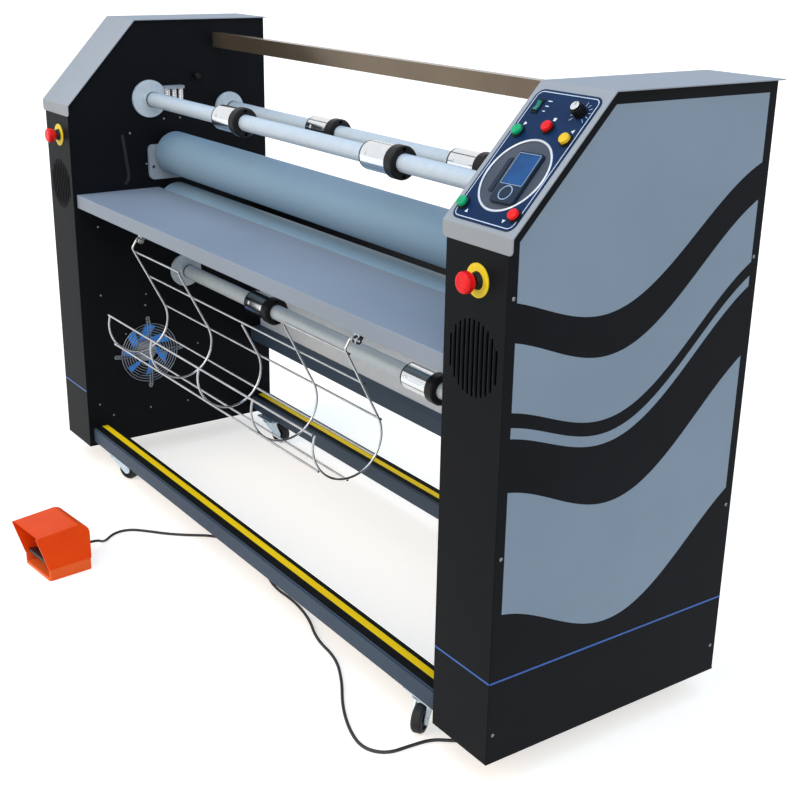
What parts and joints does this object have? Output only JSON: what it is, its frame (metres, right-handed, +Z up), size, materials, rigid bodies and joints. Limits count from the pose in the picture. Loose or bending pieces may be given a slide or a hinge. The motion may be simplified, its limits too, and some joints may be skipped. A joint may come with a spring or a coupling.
{
  "type": "laminator",
  "caption": "Wide-format roll laminator: end cabinets, rubber rollers, film shafts with core chucks, feed table, control panel, wire basket, castors and a foot switch on a lead.",
  "frame": {"origin": "on the floor, midway between the cabinets and midway between the basket's front and the caps' rear edge", "axes": "+X the operator's right, along the rollers; +Y the exit side; +Z up"},
  "size_m": [2.054, 1.0235, 1.27],
  "materials": {
    "black_sheet": "fine powder coat, satin",
    "cap_grey": "fine powder coat, satin",
    "base_dark": "powder coat, satin",
    "fascia_blue": "printed film, semi-gloss",
    "display_case": "fine texture",
    "switch_black": "satin",
    "estop_yellow": "satin",
    "red_plastic": "gloss",
    "green_plastic": "gloss",
    "yellow_plastic": "gloss",
    "knob_black": "satin",
    "beam_bronze": "satin",
    "beam_dark": "satin",
    "apron_grey": "satin",
    "table_grey": "fine powder coat, satin",
    "rail_dark": "satin",
    "flange_grey": "satin",
    "silicone": "smooth ground silicone",
    "steel": "machined",
    "shaft_alu": "satin anodised",
    "chuck_chrome": "polished",
    "block_grey": "cast, painted",
    "actuator_alu": "extruded",
    "motor_paint": "painted casting",
    "fan_plastic": "moulded",
    "fan_blue": "tinted blades",
    "guard_wire": "bright wire",
    "basket_chrome": "bright wire",
    "castor_zinc": "zinc plated",
    "castor_rubber": "moulded",
    "pedal_orange": "moulded, satin",
    "treadle_black": "ribbed",
    "cord_black": "soft PVC sheath"
  },
  "bodies": {
    "frame": {"left_side_plate": "black_sheet", "right_side_plate": "black_sheet", "left_cover": "black_sheet", "right_cover": "black_sheet", "cabinet_caps": "cap_grey", "base_plates": "base_dark", "control_fascia": "fascia_blue", "display_unit": "display_case", "switch_bezels": "switch_black", "estop_bases": "estop_yellow", "top_beam": "beam_bronze", "rear_beam": "beam_dark", "rear_apron": "apron_grey", "feed_table": "table_grey", "floor_rails": "rail_dark", "bearing_flanges": "flange_grey", "basket_clips": "castor_zinc", "castor_plates": "castor_zinc", "fan_frame": "fan_plastic", "fan_guard": "guard_wire", "drive_gearmotor": "motor_paint", "lift_actuators": "actuator_alu", "foot_switch_base": "pedal_orange", "foot_switch_hood": "pedal_orange", "foot_switch_cord": "cord_black", "cord_gland": "cord_black"},
    "lift_carriage": {"lift_blocks": "block_grey"},
    "top_roller": {"top_roller_core": "steel", "top_roller_sleeve": "silicone"},
    "lower_roller": {"lower_roller_core": "steel", "lower_roller_sleeve": "silicone"},
    "front_shaft": {"front_film_shaft": "shaft_alu"},
    "front_left_chuck": {"front_left_chuck": "chuck_chrome"},
    "front_right_chuck": {"front_right_chuck": "chuck_chrome"},
    "rear_shaft": {"rear_film_shaft": "shaft_alu"},
    "rear_left_chuck": {"rear_left_chuck": "chuck_chrome"},
    "rear_right_chuck": {"rear_right_chuck": "chuck_chrome"},
    "lower_shaft": {"lower_film_shaft": "shaft_alu"},
    "lower_left_chuck": {"lower_left_chuck": "chuck_chrome"},
    "lower_right_chuck": {"lower_right_chuck": "chuck_chrome"},
    "left_estop": {"left_estop_button": "red_plastic"},
    "right_estop": {"right_estop_button": "red_plastic"},
    "forward_button": {"forward_button": "green_plastic"},
    "stop_button": {"stop_button": "red_plastic"},
    "reverse_button": {"reverse_button": "yellow_plastic"},
    "roller_up_button": {"roller_up_button": "green_plastic"},
    "roller_down_button": {"roller_down_button": "red_plastic"},
    "rocker_switch": {"rocker_switch": "green_plastic"},
    "speed_knob": {"speed_knob": "knob_black"},
    "fan_rotor": {"fan_rotor": "fan_blue"},
    "front_left_castor": {"front_left_castor_fork": "castor_zinc"},
    "front_left_wheel": {"front_left_castor_wheel": "castor_rubber"},
    "front_right_castor": {"front_right_castor_fork": "castor_zinc"},
    "front_right_wheel": {"front_right_castor_wheel": "castor_rubber"},
    "rear_left_castor": {"rear_left_castor_fork": "castor_zinc"},
    "rear_left_wheel": {"rear_left_castor_wheel": "castor_rubber"},
    "rear_right_castor": {"rear_right_castor_fork": "castor_zinc"},
    "rear_right_wheel": {"rear_right_castor_wheel": "castor_rubber"},
    "basket": {"wire_basket": "basket_chrome"},
    "treadle": {"foot_switch_treadle": "treadle_black"}
  },
  "joints": [
    {"name": "top_roller_lift", "type": "slide", "parent": "frame", "child": "lift_carriage", "axis": [0, 0, 1], "range_m": [-0.0237, 0.006]},
    {"name": "top_roller_spin", "type": "hinge", "parent": "lift_carriage", "child": "top_roller", "pos_m": [0, 0.0366, 0.906], "axis": [1, 0, 0], "continuous": true},
    {"name": "lower_roller_spin", "type": "hinge", "parent": "frame", "child": "lower_roller", "pos_m": [0, 0.0366, 0.762], "axis": [1, 0, 0], "continuous": true},
    {"name": "front_shaft_spin", "type": "hinge", "parent": "frame", "child": "front_shaft", "pos_m": [0, -0.0254, 1.0575], "axis": [1, 0, 0], "continuous": true},
    {"name": "front_left_chuck_slide", "type": "slide", "parent": "front_shaft", "child": "front_left_chuck", "axis": [1, 0, 0], "range_m": [-0.35, 0.19]},
    {"name": "front_right_chuck_slide", "type": "slide", "parent": "front_shaft", "child": "front_right_chuck", "axis": [1, 0, 0], "range_m": [-0.19, 0.35]},
    {"name": "rear_shaft_spin", "type": "hinge", "parent": "frame", "child": "rear_shaft", "pos_m": [0, 0.2236, 1.02], "axis": [1, 0, 0], "continuous": true},
    {"name": "rear_left_chuck_slide", "type": "slide", "parent": "rear_shaft", "child": "rear_left_chuck", "axis": [1, 0, 0], "range_m": [-0.35, 0.19]},
    {"name": "rear_right_chuck_slide", "type": "slide", "parent": "rear_shaft", "child": "rear_right_chuck", "axis": [1, 0, 0], "range_m": [-0.19, 0.35]},
    {"name": "lower_shaft_spin", "type": "hinge", "parent": "frame", "child": "lower_shaft", "pos_m": [0, 0.0646, 0.555], "axis": [1, 0, 0], "continuous": true},
    {"name": "lower_left_chuck_slide", "type": "slide", "parent": "lower_shaft", "child": "lower_left_chuck", "axis": [1, 0, 0], "range_m": [-0.35, 0.19]},
    {"name": "lower_right_chuck_slide", "type": "slide", "parent": "lower_shaft", "child": "lower_right_chuck", "axis": [1, 0, 0], "range_m": [-0.19, 0.35]},
    {"name": "left_estop_push", "type": "slide", "parent": "frame", "child": "left_estop", "axis": [0, 1, 0], "range_m": [0, 0.005]},
    {"name": "right_estop_push", "type": "slide", "parent": "frame", "child": "right_estop", "axis": [0, 1, 0], "range_m": [0, 0.005]},
    {"name": "forward_button_push", "type": "slide", "parent": "frame", "child": "forward_button", "axis": [0, 0.731, -0.6824], "range_m": [0, 0.002], "stiffness_N_per_m": 400, "springref_m": -0.001},
    {"name": "stop_button_push", "type": "slide", "parent": "frame", "child": "stop_button", "axis": [0, 0.731, -0.6824], "range_m": [0, 0.002], "stiffness_N_per_m": 400, "springref_m": -0.001},
    {"name": "reverse_button_push", "type": "slide", "parent": "frame", "child": "reverse_button", "axis": [0, 0.731, -0.6824], "range_m": [0, 0.002], "stiffness_N_per_m": 400, "springref_m": -0.001},
    {"name": "roller_up_button_push", "type": "slide", "parent": "frame", "child": "roller_up_button", "axis": [0, 0.731, -0.6824], "range_m": [0, 0.002], "stiffness_N_per_m": 400, "springref_m": -0.001},
    {"name": "roller_down_button_push", "type": "slide", "parent": "frame", "child": "roller_down_button", "axis": [0, 0.731, -0.6824], "range_m": [0, 0.002], "stiffness_N_per_m": 400, "springref_m": -0.001},
    {"name": "rocker_tilt", "type": "hinge", "parent": "frame", "child": "rocker_switch", "pos_m": [0.8795, -0.09931, 1.23012], "axis": [1, 0, 0], "range_deg": [-9, 9]},
    {"name": "speed_knob_turn", "type": "hinge", "parent": "frame", "child": "speed_knob", "pos_m": [0.9855, -0.09968, 1.23046], "axis": [0, -0.731, 0.6824], "range_deg": [-150, 150]},
    {"name": "fan_spin", "type": "hinge", "parent": "frame", "child": "fan_rotor", "pos_m": [-0.862, -0.0644, 0.32], "axis": [1, 0, 0], "continuous": true},
    {"name": "front_left_swivel", "type": "hinge", "parent": "frame", "child": "front_left_castor", "pos_m": [-0.735, -0.2214, 0.0625], "axis": [0, 0, 1], "continuous": true},
    {"name": "front_left_roll", "type": "hinge", "parent": "front_left_castor", "child": "front_left_wheel", "pos_m": [-0.706, -0.20788, 0.03], "axis": [-0.4226, 0.9063, 0], "continuous": true},
    {"name": "front_right_swivel", "type": "hinge", "parent": "frame", "child": "front_right_castor", "pos_m": [0.772, -0.2214, 0.0625], "axis": [0, 0, 1], "continuous": true},
    {"name": "front_right_roll", "type": "hinge", "parent": "front_right_castor", "child": "front_right_wheel", "pos_m": [0.78943, -0.24824, 0.03], "axis": [0.8387, 0.5446, 0], "continuous": true},
    {"name": "rear_left_swivel", "type": "hinge", "parent": "frame", "child": "rear_left_castor", "pos_m": [-0.745, 0.2906, 0.0625], "axis": [0, 0, 1], "continuous": true},
    {"name": "rear_left_roll", "type": "hinge", "parent": "rear_left_castor", "child": "rear_left_wheel", "pos_m": [-0.71493, 0.30155, 0.03], "axis": [-0.342, 0.9397, 0], "continuous": true},
    {"name": "rear_right_swivel", "type": "hinge", "parent": "frame", "child": "rear_right_castor", "pos_m": [0.745, 0.2906, 0.0625], "axis": [0, 0, 1], "continuous": true},
    {"name": "rear_right_roll", "type": "hinge", "parent": "rear_right_castor", "child": "rear_right_wheel", "pos_m": [0.774, 0.30412, 0.03], "axis": [-0.4226, 0.9063, 0], "continuous": true},
    {"name": "basket_swing", "type": "hinge", "parent": "frame", "child": "basket", "pos_m": [0, -0.2554, 0.76], "axis": [1, 0, 0], "range_deg": [-35, 35]},
    {"name": "treadle_press", "type": "hinge", "parent": "frame", "child": "treadle", "pos_m": [-0.29314, -0.54558, 0.02], "axis": [0.9954, 0.0958, 0], "range_deg": [0, 7], "stiffness_Nm_per_rad": 1.2, "springref_deg": -8.59}
  ]
}
